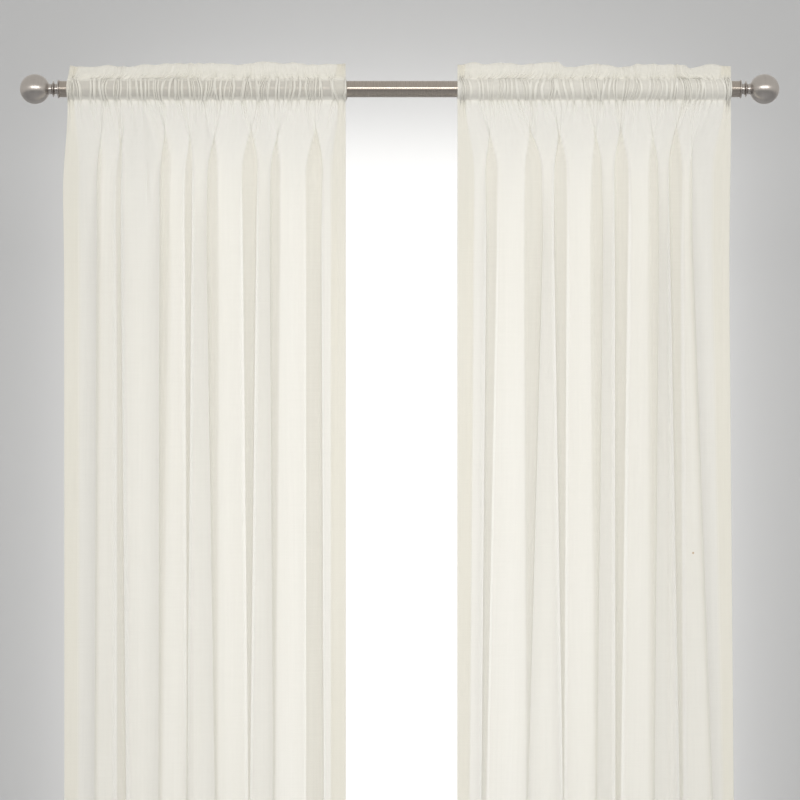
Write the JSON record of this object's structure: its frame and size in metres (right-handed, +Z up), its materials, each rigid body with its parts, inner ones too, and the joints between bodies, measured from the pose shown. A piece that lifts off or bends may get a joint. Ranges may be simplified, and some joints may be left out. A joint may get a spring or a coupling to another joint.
{
  "type": "sheer voile curtain pair on rod",
  "caption": "Sheer voile curtains with rod pockets and ruffled headers, hanging in soft folds on a brushed metal rod with ball finials.",
  "frame": {"origin": "the middle of the rod's axis", "axes": "+X along the rod to the right as seen from the room, +Y from the room towards the wall, +Z up"},
  "size_m": [1.1828, 0.0935, 2.1395],
  "materials": {
    "voile": "ivory sheer voile, plain weave, matt with a faint sheen",
    "nickel": "satin brushed nickel"
  },
  "bodies": {
    "root": {"panel_left": "voile", "panel_right": "voile", "rod": "nickel", "end_cap_left": "nickel", "end_cap_right": "nickel", "finial_left": "nickel", "finial_right": "nickel"}
  },
  "joints": []
}
